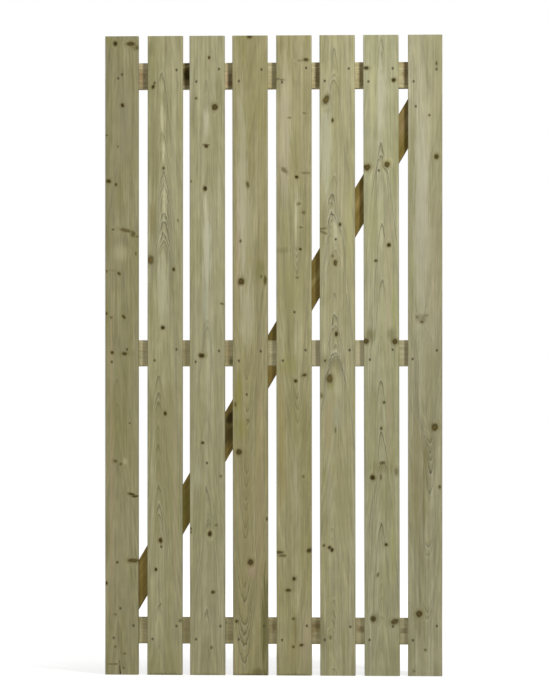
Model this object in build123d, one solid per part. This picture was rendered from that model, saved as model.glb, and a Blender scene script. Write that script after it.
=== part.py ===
from build123d import *
import math
import os

# A ledged and braced paling gate leaf in planed, pressure-treated softwood.
# Eight upright palings are nailed to three ledges, with a brace in each of the two bays between them.
# Millimetres. X runs from the hinge edge to the latch edge, the palings face -Y, and Z is up.
# The origin is the centre of the lower hinge's seat, on the back face of the bottom ledge.

# Gate leaf
gate_width = 950.0
gate_height = 1800.0

# Palings: the two outer ones are ripped narrower, so that the leaf comes to its width
paling_width = 99.0
hinge_paling_width = 94.0
latch_paling_width = 96.0
inner_palings = 6
paling_thickness = 20.0
paling_arris = 2.5

# Palings are spaced and plumbed by eye.
# Each gap is wider or narrower than the mean by its drift, and each top stands off its foot by its lean.
gap_drift = (2.0, -3.2, -1.5, 0.6, -0.3, 1.1, 1.3)
paling_lean = (0.0, 1.2, -1.8, -2.3, -1.2, -2.3, -3.9, 0.0)

# Ledges: the horizontal rails behind the palings
ledge_height = 74.0
ledge_thickness = 38.0
ledge_arris = 3.0
ledge_end_inset = 2.0
bottom_ledge_rise = 87.0
top_ledge_drop = 75.0

# Braces: the outer edge of each would run out just past the end of the ledge at its foot, where it is
# trimmed plumb. Its head stops short of the middle of the next ledge, a little farther on the lower one.
brace_width = 70.0
brace_arris = 3.0
brace_foot_overhang = 4.0
lower_brace_stop = 62.0
upper_brace_stop = 56.5

# Seat of the lower hinge, in from the hinge edge of the leaf
hinge_seat_inset = 100.0

# Derived places, from the hinge edge and the feet of the palings
bottom_ledge_top = bottom_ledge_rise + ledge_height
top_ledge_bottom = gate_height - top_ledge_drop - ledge_height
bottom_ledge_centre = bottom_ledge_rise + ledge_height / 2
top_ledge_centre = top_ledge_bottom + ledge_height / 2
middle_ledge_centre = (bottom_ledge_centre + top_ledge_centre) / 2
middle_ledge_bottom = middle_ledge_centre - ledge_height / 2
gate_middle = gate_width / 2

# Takes a shape from the hinge edge and the feet to the origin on the hinge seat
to_hinge_seat = Pos(-hinge_seat_inset, 0, -bottom_ledge_centre)


def paling_layout():
    """Each paling's width, and the middle of its foot and of its top measured from the hinge edge."""
    widths = [hinge_paling_width] + [paling_width] * inner_palings + [latch_paling_width]
    mean_gap = (gate_width - sum(widths)) / (len(widths) - 1)
    layout = []
    left = 0.0
    for number, width in enumerate(widths):
        middle = left + width / 2
        lean = paling_lean[number % len(paling_lean)]
        layout.append((width, middle - lean / 2, middle + lean / 2))
        left += width + mean_gap + gap_drift[number % len(gap_drift)]
    return layout


def paling(width, foot_middle, top_middle):
    """An upright board with eased arrises, its ends sawn level, leaning from its foot to its top."""
    section = RectangleRounded(width, paling_thickness, paling_arris)
    foot = Pos(foot_middle, -ledge_thickness - paling_thickness / 2, 0) * section
    along = Vector(top_middle - foot_middle, 0, gate_height)
    return extrude(foot, amount=along.length, dir=along)


def ledge(centre_height):
    """A rail across the back of the palings, sawn square just inside both edges of the leaf."""
    section = Plane.YZ * RectangleRounded(ledge_thickness, ledge_height, ledge_arris)
    length = gate_width - 2 * ledge_end_inset
    return Pos(ledge_end_inset, -ledge_thickness / 2, centre_height) * extrude(section, amount=length)


def lower_brace(stop):
    """A strut from the hinge end of the bottom ledge up to the middle ledge, bevelled to seat on both."""
    foot = Vector(ledge_end_inset - brace_foot_overhang, 0, bottom_ledge_top)
    head = Vector(gate_middle - stop, 0, middle_ledge_bottom)
    along = head - foot
    slope = math.degrees(math.atan2(along.Z, along.X))
    # The stock runs past both ends. Its upper edge lies on the line from foot to head.
    overrun = 2 * brace_width
    stock_length = along.length + 2 * overrun
    section = Plane.YZ * RectangleRounded(ledge_thickness, brace_width, brace_arris)
    stock = Pos(-overrun, 0, -brace_width / 2) * extrude(section, amount=stock_length)
    stock = Pos(foot.X, -ledge_thickness / 2, foot.Z) * Rot(0, -slope, 0) * stock
    bay = Box(
        gate_width - 2 * ledge_end_inset,
        ledge_thickness,
        along.Z,
        align=(Align.MIN, Align.MAX, Align.MIN),
    )
    return stock & Pos(ledge_end_inset, 0, foot.Z) * bay


def upper_brace(stop):
    """The same strut turned half round about the middle of the gate, from the middle ledge to the top one."""
    return Pos(gate_middle, 0, middle_ledge_centre) * Rot(0, 180, 0) * Pos(
        -gate_middle, 0, -middle_ledge_centre
    ) * lower_brace(stop)


def gate_pieces():
    """Every piece of the leaf by name, measured from the hinge edge and the feet."""
    pieces = {}
    for number, (width, foot_middle, top_middle) in enumerate(paling_layout(), start=1):
        pieces[f"paling_{number}"] = paling(width, foot_middle, top_middle)
    pieces["bottom_ledge"] = ledge(bottom_ledge_centre)
    pieces["middle_ledge"] = ledge(middle_ledge_centre)
    pieces["top_ledge"] = ledge(top_ledge_centre)
    pieces["lower_brace"] = lower_brace(lower_brace_stop)
    pieces["upper_brace"] = upper_brace(upper_brace_stop)
    return pieces


os.makedirs("parts", exist_ok=True)
for name, piece in gate_pieces().items():
    export_step(to_hinge_seat * piece, f"parts/{name}.step")
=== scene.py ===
import math

import bmesh
import bpy
from mathutils import Matrix, Vector, noise


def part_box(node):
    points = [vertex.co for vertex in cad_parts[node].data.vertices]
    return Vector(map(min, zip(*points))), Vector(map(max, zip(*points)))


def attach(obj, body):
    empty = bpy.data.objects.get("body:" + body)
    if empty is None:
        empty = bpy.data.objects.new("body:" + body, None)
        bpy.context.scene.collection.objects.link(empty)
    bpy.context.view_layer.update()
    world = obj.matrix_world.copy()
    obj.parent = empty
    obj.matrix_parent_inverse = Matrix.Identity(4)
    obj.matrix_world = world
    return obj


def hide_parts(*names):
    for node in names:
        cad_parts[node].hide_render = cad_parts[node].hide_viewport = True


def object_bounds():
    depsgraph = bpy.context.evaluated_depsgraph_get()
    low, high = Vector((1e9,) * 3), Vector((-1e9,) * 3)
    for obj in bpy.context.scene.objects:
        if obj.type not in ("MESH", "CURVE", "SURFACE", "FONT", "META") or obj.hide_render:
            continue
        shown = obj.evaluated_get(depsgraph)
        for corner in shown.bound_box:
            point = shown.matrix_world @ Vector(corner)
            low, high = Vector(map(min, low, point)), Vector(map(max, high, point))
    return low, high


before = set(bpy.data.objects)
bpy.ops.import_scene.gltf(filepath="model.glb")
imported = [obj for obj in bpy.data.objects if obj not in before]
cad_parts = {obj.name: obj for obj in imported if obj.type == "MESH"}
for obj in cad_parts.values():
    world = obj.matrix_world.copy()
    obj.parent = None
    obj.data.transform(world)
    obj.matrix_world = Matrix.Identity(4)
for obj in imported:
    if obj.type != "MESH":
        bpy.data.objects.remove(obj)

cad_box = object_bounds()

# Ledges: the three rails that carry the palings, planed softwood that was pressure-treated green and
# has faded to straw. Each is one length with eased edges, its ends sawn square.
mm = 0.001
hinge_edge = cad_box[0].x
gate_width = (cad_box[1].x - cad_box[0].x) / mm
ledge_names = ("bottom_ledge", "middle_ledge", "top_ledge")


def linear(hex_colour):
    """A colour for a shader, from its sRGB hex value."""
    parts = [int(hex_colour[start:start + 2], 16) / 255 for start in (0, 2, 4)]
    return [part / 12.92 if part <= 0.04045 else ((part + 0.055) / 1.055) ** 2.4 for part in parts] + [1]


def add_node(tree, kind, *inputs, **settings):
    """Adds a shader node with its settings, and fills its inputs in order, or by name from a dict.
    An input is a value, a socket, or a node that gives its first output. None leaves it as it is."""
    made = tree.nodes.new("ShaderNode" + kind)
    for setting, value in settings.items():
        setattr(made, setting, value)
    if inputs and isinstance(inputs[0], dict):
        filled = [(made.inputs[name], value) for name, value in inputs[0].items()]
    else:
        filled = zip([socket for socket in made.inputs if socket.enabled], inputs)
    for socket, value in filled:
        if isinstance(value, bpy.types.Node):
            value = next(output for output in value.outputs if output.enabled)
        if isinstance(value, bpy.types.NodeSocket):
            tree.links.new(value, socket)
        elif value is not None:
            socket.default_value = value
    return made


def set_curve(node, points, run, rise):
    """Shapes a Float Curve node through points in real units, of which run and rise are its extent."""
    curve = node.mapping.curves[0]
    for number, (along, value) in enumerate(points):
        spot = (along / run, value / rise)
        if number < 2:
            curve.points[number].location = spot
        else:
            curve.points.new(*spot)
    node.mapping.update()


def treated_softwood(name, start, lean, length, colours, pith, slope, crowns, knots, stains_and_painted_light, nails=()):
    """Pressure-treated pine or spruce, as one length of timber cut from a log.

    Its growth rings are cylinders about the pith, so faces, edges and sawn ends agree. The eye sees
    nested pointed arches where rings come to the face, fine stripes beside them, knots that part the
    grain, and a dull, slightly green surface. Places are millimetres across and along the timber.
    colours: early wood, late wood, pale streaks and green patches
    pith: how far across the pith lies, at places along the timber
    slope: how far along a ring runs for each millimetre that it spreads
    crowns: place along, slope and strength of the strongest arches
    knots: place across and along, half width, half height, tilt, darkness and how brown its heart is
    stains_and_painted_light: stains and patches of painted light and shade, by place across and along,
    half width, half length, colour and amount
    nails: place across and along
    """
    material = bpy.data.materials.new(name)
    material.use_nodes = True
    tree = material.node_tree
    tree.nodes.clear()
    # How far apart the faint rings come to the face, and how blunt the point of an arch is
    ring_pitch = 38.0
    tip_round = 4.0

    def add(kind, *inputs, **settings):
        return add_node(tree, kind, *inputs, **settings)

    def grain_noise(across, along, detail, shift=0.0):
        """Noise that is as wide as across and as long as along, in millimetres."""
        stretched = add("VectorMath", place, (1 / across, 1 / across, 1 / along), operation="MULTIPLY")
        moved = add("VectorMath", stretched, (shift, 0.37 * shift, 0.61 * shift), operation="ADD")
        return add("TexNoise", {"Vector": moved, "Scale": 1.0, "Detail": detail})

    # From the frame's metres to millimetres across the timber, through it and along it
    turned = Matrix.Rotation(lean, 3, "Y") @ Vector(start)
    place = add(
        "Mapping",
        add("TexCoord").outputs["Object"],
        [-part / mm for part in turned],
        (0, lean, 0),
        (1 / mm, 1 / mm, 1 / mm),
    )
    # The name gives each length of timber a seed, and so figure and patches of its own
    seed = float(sum(ord(letter) for letter in name) % 97)
    slow = grain_noise(42, 330, 2, seed).outputs["Color"]
    slow = add("VectorMath", slow, (0.5, 0.5, 0.5), operation="SUBTRACT")
    quick = grain_noise(9, 110, 2, seed + 5).outputs["Color"]
    quick = add("VectorMath", quick, (0.5, 0.5, 0.5), operation="SUBTRACT")
    wander = add("VectorMath", slow, (7, 4, 0), operation="MULTIPLY")
    place = add("VectorMath", quick, (2.2, 0.8, 2.6), place, operation="MULTIPLY_ADD")
    # The darkening about the nails, iron stain and painted shade in their pits, lies on the board as it
    # is and doesn't bend with the grain
    place_on_board = place

    # Knots: each parts the grain round it, lifts its rings and has a dark body of its own. The grain that
    # one knot has bent is what the next one bends, which also keeps the shader small enough to compile.
    # The marks are how far a spot is in a knot's body, in its brown heart and in the stain about it. The
    # ranges over which they fade, and the pull on the grain, are measured in the knot's half widths.
    marks = (0, 0, 0)
    through_board = 1e6
    ragged_edge = add("MapRange", grain_noise(6, 8, 2, seed + 37), 0.25, 0.75, -0.15, 0.15)
    for knot_across, knot_along, half_width, half_height, tilt, darkness, brown in knots:
        centre = (knot_across, 0, knot_along)
        size = (half_width, through_board, half_height)
        shape = add("Mapping", place, centre, (0, -math.radians(tilt), 0), size, vector_type="TEXTURE")
        reach = add("VectorMath", shape, operation="LENGTH")
        flow = add("MapRange", reach, 0.0, 3.0, 1.0, 0.0, interpolation_type="SMOOTHSTEP")
        pull = add("CombineXYZ", add("Math", flow, 0.6, operation="MULTIPLY"), flow, 0.0)
        centre_grain = (knot_across, 0.5 * half_width, 0)
        place = add("Mix", pull, place, centre_grain, data_type="VECTOR", factor_mode="NON_UNIFORM")
        mark = add(
            "MapRange",
            add("Math", reach, ragged_edge, operation="ADD"),
            (0.55, 0.0, 0.8),
            (1.25, 0.9, 2.2),
            (darkness, brown, darkness),
            (0, 0, 0),
            data_type="FLOAT_VECTOR",
            interpolation_type="SMOOTHSTEP",
        )
        marks = add("VectorMath", marks, mark, operation="MAXIMUM")
    body, brown_heart, stained = add("SeparateXYZ", marks).outputs
    grain = add("VectorMath", place, wander, operation="ADD")
    across, depth, along = add("SeparateXYZ", grain).outputs

    # Growth rings: each crosses the face as an arch, and a spot's crown is the height of its arch's point.
    # Faint rings follow at an even pitch, and strong ones where the log had a dark year. A strong one has
    # a dark line, a paler band past it and a soft shade behind it.
    height = add("Math", along, length, operation="DIVIDE")
    pith_curve = add("FloatCurve", 1.0, height)
    set_curve(pith_curve, pith, length, gate_width)
    pith_across = add("Math", pith_curve, gate_width, operation="MULTIPLY")
    from_pith = add("Math", across, pith_across, operation="SUBTRACT")
    behind = add("Math", depth, tip_round, operation="ADD")
    spread = add("VectorMath", add("CombineXYZ", from_pith, behind, 0.0), operation="LENGTH")
    spread = add("Math", spread, tip_round, operation="SUBTRACT")
    crown = add("Math", spread, slope, along, operation="MULTIPLY_ADD")
    rings = add("Math", crown, ring_pitch, operation="DIVIDE")
    latewood = add("ValToRGB", add("Math", rings, operation="FRACT"))
    ramp = latewood.color_ramp
    ring_darkness = ((0.0, 0.4), (0.12, 0.0), (0.45, 0.05), (0.68, 0.5), (0.85, 1.0), (1.0, 0.4))
    for place_in_ring, value in ring_darkness:
        if place_in_ring in (0.0, 1.0):
            stop = ramp.elements[int(place_in_ring)]
        else:
            stop = ramp.elements.new(place_in_ring)
        stop.position = place_in_ring
        stop.color = (value, value, value, 1)
    ring_number = add("Math", rings, operation="FLOOR")
    strength = add("TexWhiteNoise", {"W": ring_number}, noise_dimensions="1D").outputs["Value"]
    strength = add("MapRange", strength, 0.0, 1.0, 0.08, 0.85)
    patchy = add("MapRange", grain_noise(24, 210, 2, seed + 11), 0.3, 0.7, 0.4, 1.0)
    strength = add("Math", strength, patchy, operation="MULTIPLY")
    near_knot = add("Math", stained, 0.7, operation="MULTIPLY")
    strength = add("Math", strength, near_knot, operation="MAXIMUM")
    line = add("Math", latewood, strength, operation="MULTIPLY")
    figure = add("CombineXYZ", line, 0.0, 0.0)
    jagged = add("MapRange", grain_noise(7, 18, 2, seed + 47), 0.2, 0.8, -8.0, 8.0)
    height_here = add("Math", along, jagged, operation="ADD")
    heights = add("CombineXYZ", height_here, height_here, height_here)
    # The sides of an arch run ever steeper, and past about 19 mm they're lost among the stripes
    steeper = add("Math", spread, 0.11, 1.0, operation="MULTIPLY_ADD")
    bent = add("Math", steeper, spread, operation="MULTIPLY")
    spreads = add("CombineXYZ", bent, bent, bent)
    fade = add("MapRange", spread, 4.0, 19.0, 1.0, 0.0)
    for crown_along, crown_slope, crown_strength in crowns:
        # The pale band lies 7 mm past the dark line, and the soft shade a little less behind it
        up = math.copysign(7, crown_slope)
        line_pale_shade = (crown_along, crown_along + up, crown_along - 0.8 * up)
        point = add("VectorMath", spreads, [crown_slope] * 3, heights, operation="MULTIPLY_ADD")
        point = add("VectorMath", point, line_pale_shade, operation="SUBTRACT")
        point = add("VectorMath", point, operation="ABSOLUTE")
        # A steeper or stronger arch has a thicker line
        thick = (1.8 + 1.9 * abs(crown_slope)) * (0.55 + 0.6 * crown_strength)
        arch = add(
            "MapRange",
            point,
            (0.3 * thick, 1, 0),
            (thick + 0.8, 8, 5 + 1.8 * thick),
            (crown_strength, 0.7 * crown_strength, 0.5 * crown_strength),
            (0, 0, 0),
            data_type="FLOAT_VECTOR",
            interpolation_type="SMOOTHSTEP",
        )
        arch = add("VectorMath", arch, None, None, fade, operation="SCALE")
        figure = add("VectorMath", figure, arch, operation="MAXIMUM")
    line, bright, shade = add("SeparateXYZ", figure).outputs
    line = add("Math", line, shade, operation="MAXIMUM")

    # Fibres are finer than this in the real wood: they are drawn 3 mm wide so that they show
    fibre = grain_noise(3.2, 170, 4, seed + 17)
    mottle = grain_noise(9, 34, 3, seed + 41)
    stripe = grain_noise(9, 700, 3, seed + 23)
    blotch = grain_noise(38, 260, 3, seed + 29)
    cloud = grain_noise(30, 60, 3, seed + 53)
    early, late, pale, green = [linear(value) for value in colours]
    colour = add("Mix", line, early, late, data_type="RGBA")
    cream = add("MapRange", stripe, 0.5, 0.75, 0.0, 0.4)
    cream = add("Math", cream, add("Math", bright, 0.8, operation="MULTIPLY"), operation="MAXIMUM")
    colour = add("Mix", cream, colour, pale, data_type="RGBA")
    mossy = add("MapRange", blotch, 0.46, 0.7, 0.0, 0.6)
    colour = add("Mix", mossy, colour, green, data_type="RGBA")
    tone = add("MapRange", fibre, 0.25, 0.75, 0.79, 1.17)
    shade = add("MapRange", stripe, 0.3, 0.6, 0.95, 1.03)
    tone = add("Math", tone, shade, operation="MULTIPLY")
    shade = add("MapRange", cloud, 0.3, 0.7, 0.93, 1.06)
    tone = add("Math", tone, shade, operation="MULTIPLY")
    shade = add("MapRange", mottle, 0.3, 0.7, 0.94, 1.05)
    tone = add("Math", tone, shade, operation="MULTIPLY")
    colour = add("VectorMath", colour, add("CombineXYZ", tone, tone, tone), operation="MULTIPLY")

    # Stains, pale stretches and the patches of painted light and shade follow the grain, so they bend round
    # the knots
    streaked = add("CombineXYZ", across, 0.0, along)
    ragged = add("MapRange", grain_noise(4.5, 70, 2, seed + 31), 0.3, 0.7, -0.35, 0.35)
    for stain_across, stain_along, half_width, half_length, hex_colour, amount in stains_and_painted_light:
        offset = add("VectorMath", streaked, (stain_across, 0, stain_along), operation="SUBTRACT")
        shape = add("VectorMath", offset, (1 / half_width, 0, 1 / half_length), operation="MULTIPLY")
        reach = add("Math", add("VectorMath", shape, operation="LENGTH"), ragged, operation="ADD")
        cover = add("MapRange", reach, 0.25, 1.15, amount, 0.0, interpolation_type="SMOOTHSTEP")
        colour = add("Mix", cover, colour, linear(hex_colour), data_type="RGBA")

    # A knot has a resinous stain about it, a bark-dark body and, where it was alive, a brown heart
    about = add("Math", stained, 0.5, operation="MULTIPLY")
    colour = add("Mix", about, colour, linear("7a6e3c"), data_type="RGBA")
    colour = add("Mix", body, colour, linear("372c06"), data_type="RGBA")
    colour = add("Mix", brown_heart, colour, linear("695a2c"), data_type="RGBA")

    # The wood about each nail head is darker: partly the iron's stain, partly painted shade in its pit
    for nail_across, nail_along in nails:
        offset = add("VectorMath", place_on_board, (nail_across, 0, nail_along), operation="SUBTRACT")
        shape = add("VectorMath", offset, (1, 0, 0.75), operation="MULTIPLY")
        reach = add("VectorMath", shape, operation="LENGTH")
        cover = add("MapRange", reach, 2.2, 4.8, 0.55, 0.0, interpolation_type="SMOOTHSTEP")
        colour = add("Mix", cover, colour, linear("453e20"), data_type="RGBA")

    roughness = add("MapRange", line, 0.0, 1.0, 0.8, 0.68)
    relief = add("Math", fibre, 0.5, operation="MULTIPLY")
    relief = add("Math", line, 0.6, relief, operation="MULTIPLY_ADD")
    bump = add("Bump", {"Strength": 0.45, "Distance": 0.3 * mm, "Height": relief})
    # Open pores hold back most of the sheen
    surface = {"Base Color": colour, "Roughness": roughness, "IOR": 1.5, "Specular IOR Level": 0.2}
    surface["Normal"] = bump
    shader = add("BsdfPrincipled", surface)
    add("OutputMaterial", shader)
    return material


ledge_colours = (
    ("b8ae85", "84744a", "cac098", "988f5c"),
    ("bcb38b", "8a7f52", "cec6a0", "a0986a"),
    ("bcb38b", "7d6a3c", "cfc7a2", "a08f58"),
)
ledge_knots = (
    ((12, 300, 5, 7, 0, 0.8, 0), (-18, 540, 8, 12, 0, 0.9, 0), (18, 770, 4, 5, 0, 0.8, 0)),
    ((-14, 140, 9, 12, 0, 0.9, 0), (20, 430, 6, 8, 0, 0.9, 0), (-8, 905, 5, 7, 0, 0.8, 0)),
    ((-3, 231, 17, 12, 0, 1.0, 0), (22, 640, 6, 9, 0, 0.9, 0), (-18, 800, 4, 5, 0, 0.7, 0)),
)
# Most of the ledges' stains sit in the gaps between the palings, the only parts seen from the front. The
# dark ones there are partly the wood's own tone and partly painted shade between the palings, the narrow
# pale ones are painted light on the lit side of a gap, and the long pale ones towards the far end from the
# hinges, on the bottom and middle ledges, are painted light from the key lamp on the right.
ledge_stains_light_and_shade = (
    ((-10, 650, 14, 260, "8c7236", 0.55), (-25, 339, 6, 7, "6d7a38", 0.6),
     (0, 229, 40, 13, "9c8a68", 0.4), (0, 98, 40, 3, "cdc6a0", 0.5), (0, 830, 60, 240, "cfc8a4", 0.45),
     (-15, 476, 14, 9, "6f6136", 0.45), (-15, 598, 17, 12, "64532c", 0.6),
     (-6, 722, 13, 12, "6b5930", 0.55), (-2, 842, 11, 15, "6b5930", 0.5)),
    ((0, 229, 40, 16, "a2966c", 0.4), (0, 345, 40, 9, "b09668", 0.4), (22, 355, 17, 7, "5a5526", 0.7),
     (0, 598, 40, 10, "7c6436", 0.5), (0, 722, 40, 10, "9a866a", 0.2), (0, 850, 40, 8, "84663e", 0.4),
     (0, 680, 60, 260, "d6cfae", 0.45)),
    ((0, 229, 44, 17, "4a3a1c", 0.85), (14, 352, 34, 10, "5a3a1c", 0.7),
     (0, 342, 40, 6, "c9a888", 0.4), (0, 598, 40, 10, "6b5526", 0.6), (0, 722, 40, 10, "77602c", 0.5),
     (-8, 846, 40, 10, "6b4f22", 0.6), (0, 100, 40, 12, "8f6f48", 0.6)),
)
ledge_pith = ((0, 60), (gate_width, 30))
rail_slope = 7
end_easing = 0.8
for name, colours, knots, stains_and_painted_light in zip(ledge_names, ledge_colours, ledge_knots, ledge_stains_light_and_shade):
    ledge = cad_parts[name]
    lowest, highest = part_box(name)
    middle = (lowest.z + highest.z) / 2
    timber = treated_softwood(
        "treated_softwood_" + name,
        (hinge_edge, lowest.y, middle),
        -math.pi / 2,
        gate_width,
        colours,
        ledge_pith,
        rail_slope,
        (),
        knots,
        stains_and_painted_light,
    )
    ledge.data.materials.clear()
    ledge.data.materials.append(timber)
    eased = ledge.modifiers.new("eased_ends", "BEVEL")
    eased.width = end_easing * mm
    eased.segments = 2
    eased.limit_method = "ANGLE"
    eased.angle_limit = math.radians(60)

# Braces: two struts in the plane of the ledges, bevelled to seat on them. Their wood is browner than
# the ledges', and its colours are darker still: partly the wood, partly painted shade for the palings'
# shadow across them in the gaps.
brace_colours_and_shade = ("89753a", "53431a", "a48f59", "685f24")
brace_knots = (
    ((8, 240, 6, 9, 0, 0.9, 0), (-14, 645, 13, 20, 0, 1.0, 0)),
    ((-10, 300, 7, 10, 0, 0.9, 0), (12, 560, 5, 7, 0, 0.9, 0)),
)
# The olive patch 365 mm along the lower brace, in the second gap, is painted shade.
brace_stains_and_shade = (
    ((0, 365, 34, 70, "6b6a2a", 0.45), (0, 605, 44, 70, "33280f", 0.75)),
    ((-12, 680, 26, 90, "a08c66", 0.45), (0, 190, 8, 150, "b0a468", 0.4), (-8, 440, 8, 120, "b39a62", 0.4)),
)
brace_pith = ((0, 50), (gate_width, 20))
for name, knots, stains_and_painted_light in zip(("lower_brace", "upper_brace"), brace_knots, brace_stains_and_shade):
    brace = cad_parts[name]
    lowest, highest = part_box(name)
    corners = [vertex.co for vertex in brace.data.vertices]
    near = 0.1 * mm
    at_foot = [corner.x for corner in corners if corner.z < lowest.z + near]
    at_head = [corner.x for corner in corners if corner.z > highest.z - near]
    # One long edge of a brace is trimmed plumb at the end of a ledge, and the other runs from end to end
    run = max(max(at_head) - max(at_foot), min(at_head) - min(at_foot))
    slope = math.atan2(highest.z - lowest.z, run)
    timber = treated_softwood(
        "treated_softwood_" + name,
        ((min(at_foot) + max(at_foot)) / 2, lowest.y, lowest.z),
        slope - math.pi / 2,
        gate_width,
        brace_colours_and_shade,
        brace_pith,
        rail_slope,
        (),
        knots,
        stains_and_painted_light,
    )
    brace.data.materials.clear()
    brace.data.materials.append(timber)

# Palings: eight upright softwood boards, planed all round with eased edges, sawn square at both ends
# and nailed to the ledges and braces from the front. Each has the figure, knots and marks of its own log.
paling_face = cad_box[0].y
feet = cad_box[0].z
gate_length = (cad_box[1].z - cad_box[0].z) / mm
# The palings' colours run, on the whole, darker towards the hinge side and lighter away from it: partly the
# boards' own tones, partly painted light for the key lamp on the right.
paling_colours_and_light = (
    ("958f6b", "4d492d", "9e977a", "7d7943"),
    ("a39e78", "4e4a2f", "b7b396", "888455"),
    ("a49f7a", "524d33", "b7b49b", "89865d"),
    ("9c946c", "4e492c", "afa88a", "87814e"),
    ("a49d75", "534d33", "b7b193", "898351"),
    ("aba57e", "524e34", "bcb9a0", "918d5f"),
    ("aba884", "534f36", "bfbca3", "959365"),
    ("a7a27f", "504c36", "bab69f", "8c8960"),
)
piths = (
    ((0, 40), (800, 33), (1200, 31), (1530, 38), (1800, 40)),
    ((0, 153), (480, 152), (840, 152), (1050, 158), (1290, 167), (1390, 166), (1520, 162),
     (1800, 158)),
    ((0, 288), (180, 287), (400, 292), (530, 287), (990, 288), (1440, 292), (1600, 288), (1800, 285)),
    ((0, 394), (250, 394), (530, 399), (705, 402), (960, 397), (1100, 390), (1640, 396), (1800, 405)),
    ((0, 540), (180, 537), (450, 537), (700, 543), (830, 542), (1130, 541), (1300, 540), (1800, 540)),
    ((0, 648), (110, 637), (210, 645), (385, 642), (550, 650), (900, 650), (1160, 649), (1227, 650),
     (1297, 640), (1355, 641), (1400, 647), (1540, 643), (1680, 646), (1800, 645)),
    ((0, 778), (200, 780), (425, 779), (600, 783), (690, 779), (1110, 781), (1493, 778), (1800, 779)),
    ((0, 905), (355, 910), (650, 915), (760, 902), (900, 908), (1000, 893), (1250, 894), (1440, 913),
     (1800, 915)),
)
paling_slopes = (7, 6, 7.5, -6.5, -6.5, 6.5, 7.5, -7)
paling_crowns = (
    ((832, 4, 0.4), (766, 4, 0.35)),
    ((1695, 3, 0.8), (1577, 3, 0.35), (1528, 3, 0.6), (1478, 2.4, 0.5), (1414, 2.4, 0.8),
     (1393, 2, 0.4), (1379, 2, 0.7), (1351, 2, 0.6), (1334, 2, 0.7), (1298, 1.8, 0.8),
     (1276, 1.6, 0.8), (1241, 1.4, 0.8), (1221, 1.5, 0.75), (1205, 1.6, 0.5), (1110, 3, 0.2),
     (840, 3, 0.75), (790, 2.6, 0.7), (765, 2.6, 0.8), (700, 3, 0.5), (645, 3, 0.75), (530, 3, 0.75),
     (478, 3, 0.7), (455, 3, 0.6), (197, 4, 0.4)),
    ((1672, 5, 0.35), (1630, 3, 0.3), (1290, 4, 0.3), (1265, 4, 0.3), (1001, 3.4, 0.5),
     (993, 3.4, 0.4), (976, 3.4, 0.6), (745, 3, 0.3), (721, 3, 0.3), (531, 5.5, 0.8), (436, 2, 0.7),
     (425, 2, 0.6), (178, 4, 0.55)),
    ((834, -2.5, 0.5), (745, -1.4, 0.5), (705, -3, 0.4), (567, -3, 0.7), (530, -3, 0.7),
     (491, -3, 0.6), (465, -3, 0.6), (414, -3, 0.6), (385, -3, 0.6), (250, -2, 0.6), (209, -1.6, 0.75),
     (141, -1.6, 0.75), (116, -1.6, 0.75), (83, -1.6, 0.75), (36, -1.6, 0.7)),
    ((1340, -4, 0.3), (1195, -3, 0.5), (1175, -3, 0.5), (1154, -3, 0.5), (1131, -3, 0.6),
     (776, -3, 0.7), (748, -3, 0.7), (711, -3, 0.7), (648, -3, 0.3), (110, -3, 0.3)),
    ((1764, 6, 0.6), (1691, 1.8, 0.5), (1674, 1.6, 0.7), (1404, 3, 0.5), (1355, 2.4, 0.8),
     (1326, 1.6, 0.5), (1299, 1.3, 0.9), (1284, 1.3, 0.5), (1193, 1, 0.5), (1073, 3, 0.35),
     (1013, 3, 0.7), (981, 1.2, 0.6), (928, 2.6, 0.5), (907, 0.8, 0.9), (895, 0.8, 0.9), (885, 1, 0.4),
     (412, 3, 0.5), (386, 3, 0.4), (212, 2.2, 0.5), (182, 2, 0.5), (161, 2, 0.5), (131, 1.6, 0.5),
     (119, 1.6, 0.4), (22, 3, 0.5)),
    ((1788, 6, 0.5), (1750, 5, 0.3), (1699, 5, 0.35), (1493, 3.2, 0.9), (1460, 1.3, 0.9),
     (1268, 3.5, 0.9), (1190, 4, 0.2), (1111, 4, 0.7), (952, 4, 0.45), (831, 3.6, 0.85),
     (686, 3.6, 0.9), (602, 1.4, 0.95), (590, 3, 0.5), (520, 3, 0.3), (426, 3.5, 0.85), (258, 3, 0.5),
     (221, 3, 0.5), (170, 1.4, 0.4)),
    ((1678, -2, 0.3), (1004, -1, 0.6), (986, 1, 0.4), (656, -1.6, 0.8), (631, -2, 0.8), (606, -3, 0.7),
     (571, -4.2, 0.95), (513, -3.4, 0.65), (362, -2, 0.45), (337, -2, 0.45), (182, -1.2, 0.5),
     (159, -1.2, 0.5)),
)
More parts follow.
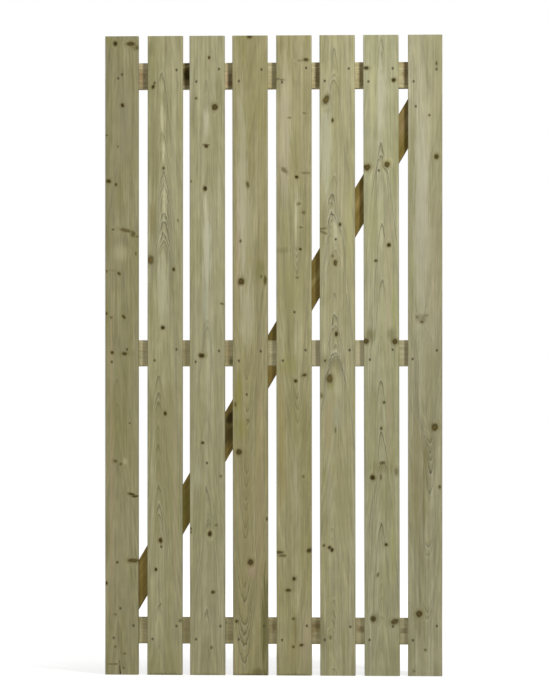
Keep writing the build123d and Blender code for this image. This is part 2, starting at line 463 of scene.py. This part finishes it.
paling_knots = (
    ((29, 1779, 6, 8, 20, 1, 0), (73, 1778, 13, 6, 0, 0.9, 0.3), (90, 1768, 7, 5, -20, 0.6, 0),
     (49, 1605, 5, 6, 0, 1, 0), (4, 1521, 3, 2.5, 0, 0.8, 0), (36, 1489, 3, 4, 0, 0.4, 0),
     (10, 1391, 7, 6, -20, 0.95, 0), (30, 1382, 4, 5, 0, 0.8, 0), (22, 1255, 4, 3, 0, 0.7, 0),
     (58, 1253, 16, 5, -12, 0.6, 0.25), (76, 1242, 13, 5.5, -48, 0.6, 0.25),
     (88, 1235, 6, 4, 0, 0.55, 0), (87, 1187, 3, 5, 0, 0.5, 0), (39, 1131, 6, 4.5, -50, 0.75, 0),
     (4, 1137, 2.5, 4, 0, 0.6, 0), (4, 1018, 3, 5, 0, 0.85, 0), (17, 1007, 4, 4, 0, 0.5, 0),
     (53, 1009, 6.5, 4, -40, 0.85, 0), (20, 908, 5, 5, 0, 0.9, 0), (55, 905, 7.5, 5, 0, 0.85, 0),
     (70, 709, 3, 2.5, 0, 0.7, 0), (29, 602, 6, 5, 0, 0.6, 0), (43, 594, 4, 4, 0, 0.65, 0),
     (75, 509, 11, 3.5, -12, 0.9, 0), (83, 503, 8, 3.5, 0, 0.9, 0), (34, 317, 3.5, 4, 0, 0.8, 0),
     (80, 322, 16, 6, 0, 0.85, 0.4), (4, 258, 3.5, 5, 0, 0.95, 0), (28, 170, 4, 3, 0, 0.4, 0),
     (29, 79, 5, 3, 0, 0.45, 0), (55, 60, 5, 2.5, 0, 0.45, 0), (52, 20, 4, 3, 0, 0.5, 0),
     (22, 30, 17, 2, 0, 0.55, 0)),
    ((136, 1657, 4.5, 7, -15, 0.95, 0), (165, 1428, 3, 4.5, 0, 0.9, 0),
     (129, 1169, 9, 13, 0, 0.75, 0.95), (194, 1143, 4, 6, 0, 1, 0), (163, 978, 6, 6, 0, 1, 0),
     (170, 737, 4.5, 6.5, 0, 1, 0), (157, 379, 6, 8, 0, 1, 0), (144, 297, 4.2, 5, 0, 1, 0),
     (206, 1280, 3, 5, 0, 0.4, 0), (212, 153, 5, 5, 0, 0.5, 0), (156, 198, 2.5, 5, -25, 0.5, 0)),
    ((294, 1739, 3.5, 5, 0, 0.9, 0), (257, 1624, 3.5, 4, 0, 0.75, 0), (310, 1599, 9.5, 10, 0, 1, 0.45),
     (286, 1489, 5, 5, 0, 1, 0), (286, 1493, 9, 2.5, 0, 0.6, 0), (283, 1370, 6.5, 7.5, 0, 1, 0),
     (243, 1390, 2.5, 4, 0, 0.7, 0), (332, 1045, 6, 3, -25, 0.6, 0), (273, 900, 9, 7, 0, 1, 0),
     (276, 654, 4, 4, 0, 0.95, 0), (327, 560, 4, 4, 0, 0.5, 0), (296, 398, 6.5, 8.5, 0, 1, 0),
     (243, 412, 3, 4, 0, 0.7, 0), (243, 402, 3, 3, 0, 0.7, 0), (314, 422, 4, 4, 0, 0.5, 0),
     (305, 234, 6, 5, 15, 0.85, 0), (301, 78, 4, 5, 0, 0.55, 0)),
    ((408, 1797, 7, 6, 0, 0.9, 0), (403, 1380, 4.5, 9, 12, 0.7, 0), (383, 1222, 3, 4.5, 0, 0.85, 0),
     (385, 1108, 9.5, 10, 0, 1, 0.5), (453, 1111, 5, 14, 0, 0.75, 0.4), (442, 1122, 4, 5, 0, 0.6, 0),
     (368, 762, 4, 7, 0, 0.6, 0), (403, 718, 3, 4, 0, 0.5, 0), (378, 628, 9, 9, 0, 0.95, 0.3),
     (457, 440, 3, 6, 0, 0.8, 0), (411, 318, 8.5, 10, 0, 0.97, 0.35), (372, 152, 5, 5, 0, 0.85, 0)),
    ((567, 1731, 7, 5, -8, 0.85, 0), (552, 1729, 12, 3, 0, 0.25, 0), (499, 1675, 7, 3, 0, 0.5, 0),
     (490, 1677, 8, 3, 0, 0.4, 0), (520, 1568, 5, 2.5, 0, 0.45, 0), (563, 1581, 5, 2.5, 0, 0.4, 0),
     (506, 1421, 12, 6, -42, 0.5, 0.2), (568, 1413, 15, 4, 0, 0.35, 0), (541, 1402, 5, 5, 0, 0.97, 0),
     (547, 1326, 6, 4, 20, 0.5, 0), (560, 1302, 6, 4, 0, 0.5, 0), (553, 1260, 5, 3, 0, 0.45, 0),
     (551, 1199, 4, 3.5, 0, 0.95, 0), (543, 1119, 4, 3, 0, 0.5, 0), (563, 845, 7, 4.5, 15, 0.85, 0),
     (538, 828, 5, 5, 0, 0.95, 0), (560, 560, 4, 4, 0, 0.55, 0), (492, 346, 11, 5, 0, 0.75, 0),
     (501, 337, 11, 4, 0, 0.6, 0), (577, 352, 8, 6, 25, 0.9, 0), (534, 272, 5, 6, 0, 0.95, 0),
     (517, 240, 8, 4.5, 0, 0.9, 0), (532, 160, 4, 4, 0, 0.7, 0), (555, 86, 6, 4, 20, 0.9, 0),
     (532, 81, 4, 4, 0, 0.75, 0)),
    ((624, 1619, 8, 14, -25, 0.92, 0.95), (642, 1561, 3.5, 6, 0, 0.9, 0), (663, 1268, 4, 6, 0, 0.9, 0),
     (613, 1256, 13, 3, 12, 0.5, 0), (616, 1246, 13, 3, -22, 0.5, 0), (643, 1178, 4, 5, 0, 0.5, 0),
     (650, 1160, 6, 9, 0, 0.85, 0.3), (653, 960, 4.5, 7, 0, 0.97, 0), (634, 835, 9, 13, 0, 0.85, 0.95),
     (611, 787, 6, 9, 0, 0.4, 0.5), (650, 690, 3, 8, 0, 0.45, 0), (618, 366, 3, 4, 0, 0.8, 0),
     (634, 360, 5.5, 5, 0, 0.9, 0), (640, 354, 5, 6, 0, 1, 0), (636, 107, 4, 5, 0, 0.5, 0)),
    ((737, 1707, 8, 5, 0, 0.95, 0), (814, 1673, 6, 6, 0, 1, 0), (739, 1428, 10, 9, 0, 1, 0.6),
     (795, 1436, 8, 9, -30, 1, 0.85), (800, 1210, 6, 6, 0, 1, 0), (764, 1166, 4, 4, 0, 0.9, 0),
     (736, 940, 8, 8, 0, 0.95, 0.6), (818, 939, 8, 8, 0, 0.97, 0.6), (787, 768, 4, 4, 0, 0.8, 0),
     (779, 695, 3.5, 5, 0, 0.8, 0), (782, 599, 8, 4, 12, 0.7, 0), (755, 557, 7, 8, 0, 1, 0),
     (778, 558, 4, 8, 0, 0.5, 0), (822, 573, 5, 11, 0, 0.45, 0), (793, 369, 4.5, 4.5, 0, 1, 0),
     (770, 285, 3.5, 7, -25, 0.55, 0), (757, 161, 8, 9, -20, 0.92, 0.3),
     (817, 153, 11, 8, 20, 0.88, 0.8)),
    ((934, 1719, 3, 6, 0, 0.7, 0), (914, 1574, 3.3, 3.3, 0, 0.65, 0), (934, 1458, 7, 8, 0, 0.93, 0.2),
     (893, 994, 5, 4, 0, 0.7, 0.5), (880, 1008, 4, 5, 30, 0.4, 0), (905, 1012, 5, 3, 0, 0.35, 0),
     (929, 699, 10, 11, 0, 0.95, 0.9), (943, 531, 4, 5, 0, 0.7, 0), (885, 175, 9.5, 9.5, 0, 1, 0.75),
     (903, 74, 3.5, 4, 0, 0.6, 0), (871, 14, 4, 4, 0, 0.35, 0)),
)
# The stains 70 mm to either side, centred 620 to 640 mm up, are painted shade: they darken the lower middle
# of each paling as the lamp's light weakens down the gate.
paling_stains_and_shade = (
    # The first paling's dark streak 20 mm up, 42 mm across, is painted shade in its foot split.
    ((47, 1560, 60, 280, "7c764c", 0.15), (42, 20, 2.4, 28, "4f4a2c", 0.7),
     (45, 1190, 30, 30, "b5ae88", 0.4), (30, 1050, 24, 50, "a8a27c", 0.3),
     (20, 1140, 22, 4, "6f683f", 0.4), (10, 1225, 13, 55, "7d764c", 0.5),
     (47, 640, 70, 260, "7c764c", 0.25), (18, 600, 6, 640, "a18c6c", 0.4),
     (52, 1550, 16, 160, "857f68", 0.4), (8, 1400, 8, 320, "7c7852", 0.4),
     (57, 602, 9, 12, "b9b48c", 0.5), (84, 1768, 14, 10, "5d5530", 0.6),
     (12, 1785, 14, 18, "7e7a3c", 0.5), (76, 906, 18, 12, "7d7750", 0.4),
     (30, 1080, 3, 130, "6f6a46", 0.5)),
    ((128, 780, 10, 60, "6f6b48", 0.4), (169, 640, 70, 260, "7d774a", 0.4),
     (135, 1280, 15, 80, "7b7546", 0.6), (164, 1085, 24, 120, "c2bfa5", 0.42),
     (162, 1560, 8, 50, "c8c39c", 0.6), (165, 1480, 6, 34, "cdc8a4", 0.6),
     (168, 1345, 7, 54, "c8c49e", 0.6), (160, 1655, 7, 28, "b6b088", 0.5),
     (138, 1480, 14, 170, "8b855f", 0.35), (200, 500, 9, 420, "a8987a", 0.3),
     # The dark bands 2 mm up on the second to fifth palings are painted shade on their bottom arrises, with
     # some damp at the feet.
     (130, 1765, 12, 30, "6f6a48", 0.5), (170, 2, 60, 5, "5f5b34", 0.6)),
    ((288, 640, 70, 260, "7f7a50", 0.22), (288, 1200, 15, 150, "c5c2aa", 0.55),
     (287, 1560, 11, 50, "c6c3aa", 0.4), (285, 1310, 9, 50, "c8c4a2", 0.5),
     (318, 650, 22, 70, "7f7d5a", 0.3), (262, 560, 17, 46, "aeac8e", 0.4),
     (283, 1060, 11, 70, "abac99", 0.45), (312, 1597, 17, 16, "c4bf9a", 0.45),
     (283, 1371, 12, 12, "c2bd98", 0.35), (296, 398, 15, 21, "b9b48e", 0.4),
     (290, 2, 60, 4, "67633e", 0.4)),
    ((386, 1390, 18, 330, "beb99f", 0.42), (376, 1200, 6, 220, "b59f80", 0.4),
     (440, 1500, 18, 320, "a09a66", 0.25), (402, 1020, 26, 130, "c1bca0", 0.42),
     (400, 1260, 30, 170, "b8b294", 0.35), (405, 260, 60, 200, "857c4c", 0.22),
     (440, 1140, 20, 52, "746f3a", 0.55), (378, 790, 11, 80, "88823a", 0.6),
     (385, 690, 20, 42, "88823f", 0.5), (451, 150, 12, 200, "5b582c", 0.8),
     (435, 8, 30, 16, "5a532e", 0.6), (400, 500, 22, 200, "8b7f56", 0.4),
     (415, 300, 15, 34, "a8937a", 0.4), (437, 600, 14, 420, "a8946e", 0.3),
     (410, 2, 60, 5, "55502c", 0.6)),
    ((533, 640, 70, 260, "7f7a50", 0.16), (537, 120, 4, 70, "6e6238", 0.5),
     (505, 1550, 22, 260, "c0b59a", 0.4), (560, 1550, 15, 220, "968e66", 0.4),
     (500, 1195, 26, 12, "706945", 0.45), (530, 1080, 50, 120, "8e8955", 0.4),
     (540, 1290, 6, 100, "cdc8a6", 0.55), (539, 950, 6, 76, "bab798", 0.4),
     (500, 650, 13, 240, "938347", 0.45), (520, 870, 32, 34, "8f8b4a", 0.35),
     (540, 90, 15, 100, "887e50", 0.45), (538, 560, 8, 100, "b5b091", 0.4),
     (570, 110, 22, 90, "ab9a80", 0.35), (532, 2, 60, 5, "5b5732", 0.5)),
    ((624, 1500, 20, 170, "bfc0a6", 0.45), (626, 1588, 12, 10, "8b8152", 0.4),
     (641, 1742, 8, 44, "858467", 0.5), (618, 1270, 15, 66, "8b845c", 0.45),
     (690, 1250, 13, 180, "b1ac74", 0.4), (650, 1250, 8, 54, "c9c7a6", 0.5),
     (630, 700, 13, 88, "a38f68", 0.5), (655, 810, 15, 44, "c2be9e", 0.45),
     (637, 812, 8, 18, "868a50", 0.55), (655, 730, 17, 56, "abad95", 0.4),
     (620, 560, 6, 34, "8c8948", 0.45), (645, 580, 5, 34, "8c8948", 0.45),
     (612, 120, 14, 60, "757048", 0.5), (640, 880, 50, 26, "77714a", 0.45),
     (655, 620, 70, 260, "807b54", 0.16)),
    ((781, 1620, 17, 130, "cbc8b0", 0.38), (755, 1620, 15, 110, "bdb889", 0.4),
     (795, 1442, 15, 17, "c6bc84", 0.5), (750, 1450, 18, 44, "8c8762", 0.4),
     (800, 1100, 13, 330, "b9aa8a", 0.35), (750, 1250, 15, 170, "aaa874", 0.35),
     (748, 957, 18, 26, "6f6a3c", 0.62), (806, 960, 16, 25, "6f6a3f", 0.58),
     (815, 1040, 9, 90, "a5aa64", 0.4), (780, 1230, 7, 34, "c8c39f", 0.45),
     (800, 700, 9, 170, "a5967a", 0.4), (812, 380, 9, 140, "a3a562", 0.4),
     (779, 585, 40, 24, "7c7447", 0.5), (779, 640, 70, 260, "827d57", 0.18)),
    ((893, 1004, 18, 15, "5f5833", 0.75), (890, 1330, 24, 430, "c4bfa9", 0.5),
     (942, 1300, 9, 380, "8b8560", 0.4), (858, 1260, 6, 260, "8f8a64", 0.4),
     (906, 682, 13, 20, "bfb99a", 0.4), (880, 560, 24, 230, "857a52", 0.45),
     (902, 950, 60, 420, "858060", 0.25), (930, 1150, 11, 280, "a3946f", 0.25),
     (865, 1150, 9, 70, "9aa070", 0.4), (905, 560, 11, 140, "736d3a", 0.45),
     (898, 520, 4, 130, "686130", 0.5), (887, 300, 4, 120, "686134", 0.5),
     (925, 1560, 17, 150, "9f9972", 0.4), (885, 140, 13, 34, "75704c", 0.45),
     (900, 640, 42, 66, "8a835c", 0.35)),
)
paling_nails = (
    ((48, 1692), (37, 1681), (19, 882), (62, 917), (80, 139), (24, 104), (43, 187)),
    ((202, 1704), (140, 1668), (202, 917), (140, 886), (202, 138), (134, 101), (159, 361)),
    ((322, 1706), (258, 1671), (322, 913), (256, 882), (326, 138), (257, 101), (288, 597)),
    ((442, 1704), (378, 1672), (440, 912), (378, 885), (449, 139), (378, 101), (400, 790)),
    ((568, 1708), (500, 1668), (566, 915), (502, 885), (570, 140), (500, 100), (535, 1022)),
    ((688, 1706), (620, 1671), (690, 915), (621, 885), (692, 138), (620, 101), (651, 1226)),
    ((811, 1706), (743, 1669), (811, 916), (747, 888), (812, 139), (746, 101), (772, 1419)),
    ((934, 1703), (870, 1669), (935, 914), (867, 890), (935, 141), (868, 101), (876, 1599)),
)

# A board's mesh in millimetres: a row of points about every 24 mm up, its arrises worn unevenly, its
# faces planed a little hollow, and its ends worn. Its edges need fewer points than its faces.
level_gap = 24.0
arris_steps = 4
edge_splits = 3
face_splits = 10
worn_arris = 2.4
uneven_arris = 0.9
planing_hollow = 0.22
end_wear = 0.6

# The pits over the nails' heads, which flare towards the face. Their cutter starts just in front of it.
head_width = 4.4
head_sides = 14
pit_depth = 3.0
pit_start = 1.0
pit_flare = 0.9
pit_ease = 0.1

# The drying split at the foot of the first paling, which leans a little as it runs up
split_at_foot = 43.5
split_at_top = 40.0
split_height = 46.0
split_width = 3.6
split_depth = 15.0


def rounded_section(left, right, front, back, radius):
    """Points round the cross-section of a board, the same number for any size, in millimetres."""
    corners = (
        (right - radius, front + radius, -math.pi / 2, edge_splits),
        (right - radius, back - radius, 0.0, face_splits),
        (left + radius, back - radius, math.pi / 2, edge_splits),
        (left + radius, front + radius, math.pi, face_splits),
    )
    points = []
    for number, (across, through, turn, splits) in enumerate(corners):
        for step in range(arris_steps + 1):
            angle = turn + step * math.pi / 2 / arris_steps
            points.append((across + radius * math.cos(angle), through + radius * math.sin(angle)))
        next_across, next_through, next_turn, _ = corners[(number + 1) % 4]
        end = (next_across + radius * math.cos(next_turn), next_through + radius * math.sin(next_turn))
        start = points[-1]
        for step in range(1, splits):
            share = step / splits
            between = (start[0] + share * (end[0] - start[0]), start[1] + share * (end[1] - start[1]))
            points.append(between)
    return points


def board_mesh(name, foot, top, front, back, bottom, height):
    """A board from its foot to its top, all in millimetres. Planing has left its faces a hair uneven."""
    shape = bmesh.new()
    levels = max(2, round(height / level_gap))
    rows = []
    middle_heights = [height * level / levels for level in range(1, levels)]
    heights = [0.0, end_easing] + middle_heights + [height - end_easing, height]
    # The wear changes over about 80 mm along, and the hollows over some 50 mm across and 170 mm along
    for level_height in heights:
        share = level_height / height
        left = foot[0] + share * (top[0] - foot[0])
        right = foot[1] + share * (top[1] - foot[1])
        inset = end_wear if level_height in (0.0, height) else 0.0
        wear = worn_arris + uneven_arris * noise.noise(Vector((left * 0.1, level_height * 0.012, 3.0)))
        row = []
        points = rounded_section(left + inset, right - inset, front + inset, back - inset, wear)
        for across, through in points:
            spot = Vector((across * 0.02, through * 0.05, level_height * 0.006))
            hollow = planing_hollow * (0.5 + 0.5 * noise.noise(spot))
            through += hollow if through < (front + back) / 2 else -hollow
            row.append(shape.verts.new((across * mm, through * mm, (bottom + level_height) * mm)))
        rows.append(row)
    for low, high in zip(rows, rows[1:]):
        for number in range(len(low)):
            after = (number + 1) % len(low)
            shape.faces.new((low[number], low[after], high[after], high[number]))
    shape.faces.new(list(reversed(rows[0])))
    shape.faces.new(rows[-1])
    made = bpy.data.meshes.new(name)
    shape.to_mesh(made)
    shape.free()
    return made


def cutter_mesh(spots, face):
    """Tapered pits where the nails were driven just below the face of a board, all in one mesh."""
    shape = bmesh.new()
    for across, height in spots:
        middle_depth = (pit_depth / 2 - pit_start) * mm
        middle = Vector((hinge_edge + across * mm, face + middle_depth, feet + height * mm))
        matrix = Matrix.Translation(middle) @ Matrix.Rotation(-math.pi / 2, 4, "X")
        bmesh.ops.create_cone(
            shape,
            cap_ends=True,
            segments=head_sides,
            radius1=(head_width / 2 + pit_flare) * mm,
            radius2=(head_width / 2 + pit_ease) * mm,
            depth=pit_depth * mm,
            matrix=matrix,
        )
    made = bpy.data.meshes.new("cutter")
    shape.to_mesh(made)
    shape.free()
    return made


def split_mesh(face):
    """The wedge of the drying split, which opens downwards and runs out of the face and the foot."""
    shape = bmesh.new()
    for across, through, up in (
        (split_at_top, -1, split_height),
        (split_at_foot - split_width / 2, -1, -1),
        (split_at_foot + split_width / 2, -1, -1),
        (split_at_foot, split_depth, -1),
    ):
        shape.verts.new((hinge_edge + across * mm, face + through * mm, feet + up * mm))
    bmesh.ops.convex_hull(shape, input=shape.verts)
    made = bpy.data.meshes.new("split")
    shape.to_mesh(made)
    shape.free()
    return made


def cut(target, cutter):
    """Takes a cutter mesh out of a piece for good."""
    tool = bpy.data.objects.new("tool", cutter)
    bpy.context.scene.collection.objects.link(tool)
    step = target.modifiers.new("cut", "BOOLEAN")
    step.operation = "DIFFERENCE"
    step.solver = "EXACT"
    step.object = tool
    bpy.context.view_layer.update()
    graph = bpy.context.evaluated_depsgraph_get()
    result = bpy.data.meshes.new_from_object(target.evaluated_get(graph))
    target.modifiers.clear()
    target.data = result
    bpy.data.objects.remove(tool)


for number, nail_spots in enumerate(paling_nails):
    name = f"paling_{number + 1}"
    corners = [vertex.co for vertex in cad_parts[name].data.vertices]
    lowest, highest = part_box(name)
    at_foot = [corner.x / mm for corner in corners if corner.z < lowest.z + mm]
    at_top = [corner.x / mm for corner in corners if corner.z > highest.z - mm]
    mesh = board_mesh(
        name + "_board",
        (min(at_foot), max(at_foot)),
        (min(at_top), max(at_top)),
        lowest.y / mm,
        highest.y / mm,
        lowest.z / mm,
        (highest.z - lowest.z) / mm,
    )
    board = bpy.data.objects.new(name + "_board", mesh)
    bpy.context.scene.collection.objects.link(board)
    cut(board, cutter_mesh(nail_spots, lowest.y))
    if number == 0:
        cut(board, split_mesh(lowest.y))
    timber = treated_softwood(
        "treated_softwood_" + name,
        (hinge_edge, paling_face, feet),
        0.0,
        gate_length,
        paling_colours_and_light[number],
        piths[number],
        paling_slopes[number],
        paling_crowns[number],
        paling_knots[number],
        paling_stains_and_shade[number],
        nail_spots,
    )
    board.data.materials.clear()
    board.data.materials.append(timber)
    board.data.shade_smooth()
    board.data.set_sharp_from_angle(angle=math.radians(35))
    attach(board, "root")
    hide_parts(name)

# Nails: round wire nails with small heads, two through each paling into each ledge and one into the
# brace behind it. They were punched just under the face, and the treated wood has dulled them.
nail_length = 50.0
shank_width = 2.6
head_recess = 0.9
head_dome = 0.25
head_thickness = 0.5
rim_depth = 0.1
neck_depth = 1.6
point_length = 4.0


def nail_profile():
    """Radius and depth behind the face of the paling, from the middle of the head to the point."""
    head_radius = head_width / 2
    shank_radius = shank_width / 2
    return (
        (0.0, head_recess - head_dome),
        (0.7 * head_radius, head_recess - 0.8 * head_dome),
        (head_radius, head_recess + rim_depth),
        (head_radius, head_recess + head_thickness),
        (shank_radius, head_recess + neck_depth),
        (shank_radius, nail_length - point_length),
        (0.0, nail_length),
    )


# Zinc-plated wire that the treated wood has turned dark: a dull sheen with specks about 1 mm wide
wire = bpy.data.materials.new("dulled_zinc_nail")
wire.use_nodes = True
wire.node_tree.nodes.clear()
specks = add_node(wire.node_tree, "TexNoise", {"Scale": 0.9 / mm, "Detail": 2.0})
zinc = add_node(wire.node_tree, "Mix", specks, linear("443e2a"), linear("645c42"), data_type="RGBA")
zinc_shader = add_node(
    wire.node_tree, "BsdfPrincipled", {"Base Color": zinc, "Metallic": 0.5, "Roughness": 0.6}
)
add_node(wire.node_tree, "OutputMaterial", zinc_shader)
# The nails of a paling are listed from the top down, and the one in the brace comes last
listed_rows = ("top", "top", "middle", "middle", "bottom", "bottom", "brace")
rows_of_nails = {"top": [], "middle": [], "bottom": [], "brace": []}
for spots in paling_nails:
    for row, spot in zip(listed_rows, spots):
        rows_of_nails[row].append(spot)
for row, spots in rows_of_nails.items():
    shape = bmesh.new()
    for across, height in spots:
        rings = []
        for radius, depth in nail_profile():
            y = paling_face + depth * mm
            if radius == 0:
                rings.append([shape.verts.new((hinge_edge + across * mm, y, feet + height * mm))])
                continue
            ring = []
            for side in range(head_sides):
                angle = 2 * math.pi * side / head_sides
                x = hinge_edge + (across + radius * math.cos(angle)) * mm
                ring.append(shape.verts.new((x, y, feet + (height + radius * math.sin(angle)) * mm)))
            rings.append(ring)
        for front, behind in zip(rings, rings[1:]):
            for side in range(head_sides):
                after = (side + 1) % head_sides
                loop = (
                    front[side % len(front)],
                    front[after % len(front)],
                    behind[after % len(behind)],
                    behind[side % len(behind)],
                )
                # A ring of one point, at the head's middle or the nail's point, gives triangles
                shape.faces.new(list(dict.fromkeys(loop)))
    bmesh.ops.recalc_face_normals(shape, faces=shape.faces)
    mesh = bpy.data.meshes.new(row + "_nails")
    shape.to_mesh(mesh)
    shape.free()
    nails = bpy.data.objects.new(row + "_nails", mesh)
    bpy.context.scene.collection.objects.link(nails)
    nails.data.materials.append(wire)
    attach(nails, "root")

# Studio: a plain white floor at the feet, a soft lamp high on the right in front, a weak one low on the
# left, one behind, and a long lens a little to the right of the gate, level with its middle.
scene = bpy.context.scene
gate_middle = (cad_box[0] + cad_box[1]) / 2
scene.view_settings.view_transform = "Standard"
floor_size = 60.0
floor_mesh = bpy.data.meshes.new("floor")
half = floor_size / 2
floor_corners = [(-half, -half, feet), (half, -half, feet), (half, half, feet), (-half, half, feet)]
floor_mesh.from_pydata(floor_corners, [], [(0, 1, 2, 3)])
floor = bpy.data.objects.new("floor", floor_mesh)
scene.collection.objects.link(floor)

# Matt white paper, which the eye sees as an even white ground: it throws a soft light on the gate, and
# glows where it's seen directly, less about the feet so that the shadow of the gate shows there
paper_white = 0.78
paper_white_seen = 0.55
glow_at_feet = 0.68
glow_away = 0.87
shadow_start = 0.5
shadow_end = 1.3
paper = bpy.data.materials.new("white_studio_paper")
paper.use_nodes = True
paper.node_tree.nodes.clear()


def seen_directly(tree):
    """One where the camera, a reflection or a transmitted ray sees it, nought for light on the gate."""
    path = add_node(tree, "LightPath")
    seen = add_node(
        tree, "Math", path.outputs["Is Camera Ray"], path.outputs["Is Glossy Ray"], operation="MAXIMUM"
    )
    return add_node(tree, "Math", seen, path.outputs["Is Transmission Ray"], operation="MAXIMUM")


seen = seen_directly(paper.node_tree)
whiteness = add_node(paper.node_tree, "MapRange", seen, 0.0, 1.0, paper_white, paper_white_seen)
matt = add_node(paper.node_tree, "BsdfDiffuse", {"Color": whiteness})
floor_spot = add_node(paper.node_tree, "TexCoord").outputs["Object"]
gate_foot = (gate_middle.x, gate_middle.y, feet)
from_gate = add_node(paper.node_tree, "VectorMath", floor_spot, gate_foot, operation="DISTANCE")
whole_glow = add_node(
    paper.node_tree, "MapRange", from_gate, shadow_start, shadow_end, glow_at_feet, glow_away
)
glow_strength = add_node(paper.node_tree, "Math", seen, whole_glow, operation="MULTIPLY")
glow = add_node(paper.node_tree, "Emission", {"Strength": glow_strength})
add_node(paper.node_tree, "OutputMaterial", add_node(paper.node_tree, "AddShader", matt, glow))
floor_mesh.materials.append(paper)

world = bpy.data.worlds.new("studio")
scene.world = world
world.use_nodes = True
world.node_tree.nodes.clear()
ambient = 0.25
brightness = add_node(
    world.node_tree, "MapRange", seen_directly(world.node_tree), 0.0, 1.0, ambient, 1.0
)
backdrop = add_node(world.node_tree, "Background", {"Color": (1, 1, 1, 1), "Strength": brightness})
add_node(world.node_tree, "OutputWorld", backdrop)


def add_lamp(name, where, aim, size, power):
    """A square soft lamp with a spot that it faces, both measured from the middle of the gate."""
    lamp = bpy.data.lights.new(name, "AREA")
    lamp.shape = "SQUARE"
    lamp.size = size
    lamp.energy = power
    holder = bpy.data.objects.new(name, lamp)
    scene.collection.objects.link(holder)
    holder.location = gate_middle + Vector(where)
    holder.rotation_euler = (Vector(aim) - Vector(where)).to_track_quat("-Z", "Y").to_euler()


# The key lamp faces over the gate, so that its light weakens towards the feet
add_lamp("key_lamp", (2.4, -3.2, 3.0), (0, 0, 4.0), 0.7, 275)
add_lamp("fill_lamp", (-0.8, -1.7, -0.7), (0, 0, -0.2), 0.8, 10.2)
add_lamp("back_lamp", (-2.6, 3.4, 2.2), (0, 0, 0), 2.0, 60)

# The camera stands and shifts so that the gate fills the same columns and rows as in the photo
camera_distance = 12.0
camera_azimuth = math.radians(4.0)
camera_height = 0.88
photo_width, photo_height = 549, 700
gate_pixels = 337.85
scale = gate_pixels / (gate_width * mm)
feet_row = 675.5
horizon_row = feet_row - camera_height * scale
gate_middle_column = 273.2
camera_data = bpy.data.cameras.new("camera")
camera = bpy.data.objects.new("camera", camera_data)
scene.collection.objects.link(camera)
scene.camera = camera
aim = Vector((gate_middle.x, paling_face, feet + camera_height))
camera.location = aim + camera_distance * Vector((math.sin(camera_azimuth), -math.cos(camera_azimuth), 0))
camera.rotation_euler = (math.pi / 2, 0, camera_azimuth)
camera_data.sensor_width = 36.0
camera_data.lens = camera_data.sensor_width * camera_distance * scale / photo_height
camera_data.shift_x = (photo_width / 2 - gate_middle_column) / photo_height
camera_data.shift_y = (horizon_row - photo_height / 2) / photo_height
